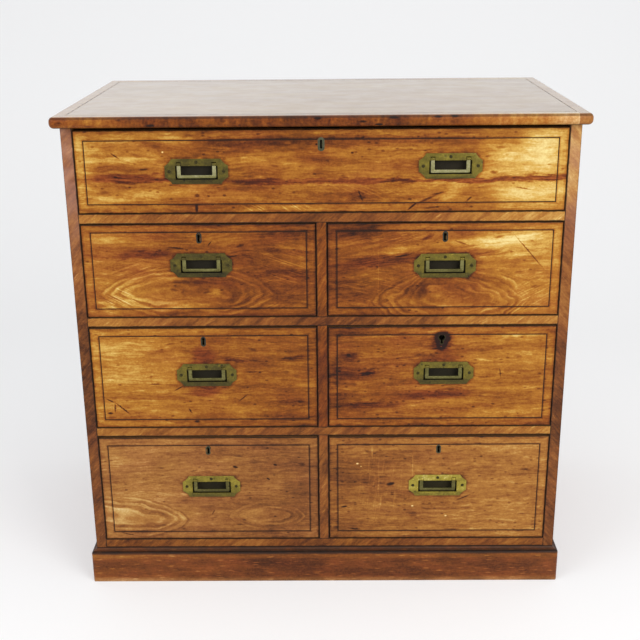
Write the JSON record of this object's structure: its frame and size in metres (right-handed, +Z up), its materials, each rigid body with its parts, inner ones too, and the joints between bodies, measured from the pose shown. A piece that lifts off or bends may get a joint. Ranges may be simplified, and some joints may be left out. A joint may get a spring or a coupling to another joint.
{
  "type": "campaign chest of drawers",
  "caption": "Low wide chest of drawers on a moulded plinth: one full-width drawer over rows of paired drawers, all with flush military handles and keyholes.",
  "frame": {"origin": "on the floor under the middle of the top board's outline", "axes": "+X to the right along the front, +Y to the back, +Z up"},
  "size_m": [0.934, 0.553, 0.919],
  "materials": {
    "top_wood": "old wax polish",
    "carcass_wood": "old wax polish",
    "drawer_wood": "old wax polish",
    "plinth_wood": "worn wax polish",
    "inner_wood": "bare, aged",
    "aged_brass": "unpolished, tarnished"
  },
  "bodies": {
    "carcass": {"top_board": "top_wood", "left_side_panel": "carcass_wood", "right_side_panel": "carcass_wood", "bottom_rail": "carcass_wood", "lower_rail": "carcass_wood", "middle_rail": "carcass_wood", "upper_rail": "carcass_wood", "muntins": "carcass_wood", "bottom_board": "inner_wood", "back_boards": "inner_wood", "drawer_runners": "inner_wood", "drawer_guides": "inner_wood", "drawer_stops": "inner_wood", "plinth_front": "plinth_wood", "plinth_sides": "plinth_wood", "plinth_back": "inner_wood", "plinth_blocks": "inner_wood"},
    "long_drawer": {"long_drawer_front": "drawer_wood", "long_drawer_box": "inner_wood", "long_drawer_plates": "aged_brass", "long_drawer_lock": "aged_brass"},
    "long_left_bail": {"long_left_bail": "aged_brass"},
    "long_right_bail": {"long_right_bail": "aged_brass"},
    "long_lock_bolt": {"long_lock_bolt": "aged_brass"},
    "upper_left_drawer": {"upper_left_drawer_front": "drawer_wood", "upper_left_drawer_box": "inner_wood", "upper_left_drawer_plates": "aged_brass", "upper_left_drawer_lock": "aged_brass"},
    "upper_left_bail": {"upper_left_bail": "aged_brass"},
    "upper_left_lock_bolt": {"upper_left_lock_bolt": "aged_brass"},
    "upper_right_drawer": {"upper_right_drawer_front": "drawer_wood", "upper_right_drawer_box": "inner_wood", "upper_right_drawer_plates": "aged_brass", "upper_right_drawer_lock": "aged_brass"},
    "upper_right_bail": {"upper_right_bail": "aged_brass"},
    "upper_right_lock_bolt": {"upper_right_lock_bolt": "aged_brass"},
    "middle_left_drawer": {"middle_left_drawer_front": "drawer_wood", "middle_left_drawer_box": "inner_wood", "middle_left_drawer_plates": "aged_brass", "middle_left_drawer_lock": "aged_brass"},
    "middle_left_bail": {"middle_left_bail": "aged_brass"},
    "middle_left_lock_bolt": {"middle_left_lock_bolt": "aged_brass"},
    "middle_right_drawer": {"middle_right_drawer_front": "drawer_wood", "middle_right_drawer_box": "inner_wood", "middle_right_drawer_plates": "aged_brass", "middle_right_drawer_lock": "aged_brass"},
    "middle_right_bail": {"middle_right_bail": "aged_brass"},
    "middle_right_lock_bolt": {"middle_right_lock_bolt": "aged_brass"},
    "lower_left_drawer": {"lower_left_drawer_front": "drawer_wood", "lower_left_drawer_box": "inner_wood", "lower_left_drawer_plates": "aged_brass", "lower_left_drawer_lock": "aged_brass"},
    "lower_left_bail": {"lower_left_bail": "aged_brass"},
    "lower_left_lock_bolt": {"lower_left_lock_bolt": "aged_brass"},
    "lower_right_drawer": {"lower_right_drawer_front": "drawer_wood", "lower_right_drawer_box": "inner_wood", "lower_right_drawer_plates": "aged_brass", "lower_right_drawer_lock": "aged_brass"},
    "lower_right_bail": {"lower_right_bail": "aged_brass"},
    "lower_right_lock_bolt": {"lower_right_lock_bolt": "aged_brass"}
  },
  "joints": [
    {"name": "long_slide", "type": "slide", "parent": "carcass", "child": "long_drawer", "axis": [0, -1, 0], "range_m": [0, 0.4]},
    {"name": "long_left_bail_hinge", "type": "hinge", "parent": "long_drawer", "child": "long_left_bail", "pos_m": [-0.2175, -0.261, 0.83435], "axis": [-1, 0, 0], "range_deg": [0, 90]},
    {"name": "long_right_bail_hinge", "type": "hinge", "parent": "long_drawer", "child": "long_right_bail", "pos_m": [0.226, -0.261, 0.84085], "axis": [-1, 0, 0], "range_deg": [0, 90]},
    {"name": "long_bolt_throw", "type": "slide", "parent": "long_drawer", "child": "long_lock_bolt", "axis": [0, 0, 1], "range_m": [0, 0.009]},
    {"name": "upper_left_slide", "type": "slide", "parent": "carcass", "child": "upper_left_drawer", "axis": [0, -1, 0], "range_m": [0, 0.4]},
    {"name": "upper_left_bail_hinge", "type": "hinge", "parent": "upper_left_drawer", "child": "upper_left_bail", "pos_m": [-0.21675, -0.261, 0.66385], "axis": [-1, 0, 0], "range_deg": [0, 90]},
    {"name": "upper_left_bolt_throw", "type": "slide", "parent": "upper_left_drawer", "child": "upper_left_lock_bolt", "axis": [0, 0, 1], "range_m": [0, 0.009]},
    {"name": "upper_right_slide", "type": "slide", "parent": "carcass", "child": "upper_right_drawer", "axis": [0, -1, 0], "range_m": [0, 0.4]},
    {"name": "upper_right_bail_hinge", "type": "hinge", "parent": "upper_right_drawer", "child": "upper_right_bail", "pos_m": [0.22125, -0.261, 0.66035], "axis": [-1, 0, 0], "range_deg": [0, 90]},
    {"name": "upper_right_bolt_throw", "type": "slide", "parent": "upper_right_drawer", "child": "upper_right_lock_bolt", "axis": [0, 0, 1], "range_m": [0, 0.009]},
    {"name": "middle_left_slide", "type": "slide", "parent": "carcass", "child": "middle_left_drawer", "axis": [0, -1, 0], "range_m": [0, 0.4]},
    {"name": "middle_left_bail_hinge", "type": "hinge", "parent": "middle_left_drawer", "child": "middle_left_bail", "pos_m": [-0.21625, -0.261, 0.45135], "axis": [-1, 0, 0], "range_deg": [0, 90]},
    {"name": "middle_left_bolt_throw", "type": "slide", "parent": "middle_left_drawer", "child": "middle_left_lock_bolt", "axis": [0, 0, 1], "range_m": [0, 0.009]},
    {"name": "middle_right_slide", "type": "slide", "parent": "carcass", "child": "middle_right_drawer", "axis": [0, -1, 0], "range_m": [0, 0.4]},
    {"name": "middle_right_bail_hinge", "type": "hinge", "parent": "middle_right_drawer", "child": "middle_right_bail", "pos_m": [0.22475, -0.261, 0.45285], "axis": [-1, 0, 0], "range_deg": [0, 90]},
    {"name": "middle_right_bolt_throw", "type": "slide", "parent": "middle_right_drawer", "child": "middle_right_lock_bolt", "axis": [0, 0, 1], "range_m": [0, 0.009]},
    {"name": "lower_left_slide", "type": "slide", "parent": "carcass", "child": "lower_left_drawer", "axis": [0, -1, 0], "range_m": [0, 0.4]},
    {"name": "lower_left_bail_hinge", "type": "hinge", "parent": "lower_left_drawer", "child": "lower_left_bail", "pos_m": [-0.21725, -0.261, 0.21885], "axis": [-1, 0, 0], "range_deg": [0, 90]},
    {"name": "lower_left_bolt_throw", "type": "slide", "parent": "lower_left_drawer", "child": "lower_left_lock_bolt", "axis": [0, 0, 1], "range_m": [0, 0.009]},
    {"name": "lower_right_slide", "type": "slide", "parent": "carcass", "child": "lower_right_drawer", "axis": [0, -1, 0], "range_m": [0, 0.4]},
    {"name": "lower_right_bail_hinge", "type": "hinge", "parent": "lower_right_drawer", "child": "lower_right_bail", "pos_m": [0.21975, -0.261, 0.21935], "axis": [-1, 0, 0], "range_deg": [0, 90]},
    {"name": "lower_right_bolt_throw", "type": "slide", "parent": "lower_right_drawer", "child": "lower_right_lock_bolt", "axis": [0, 0, 1], "range_m": [0, 0.009]}
  ]
}
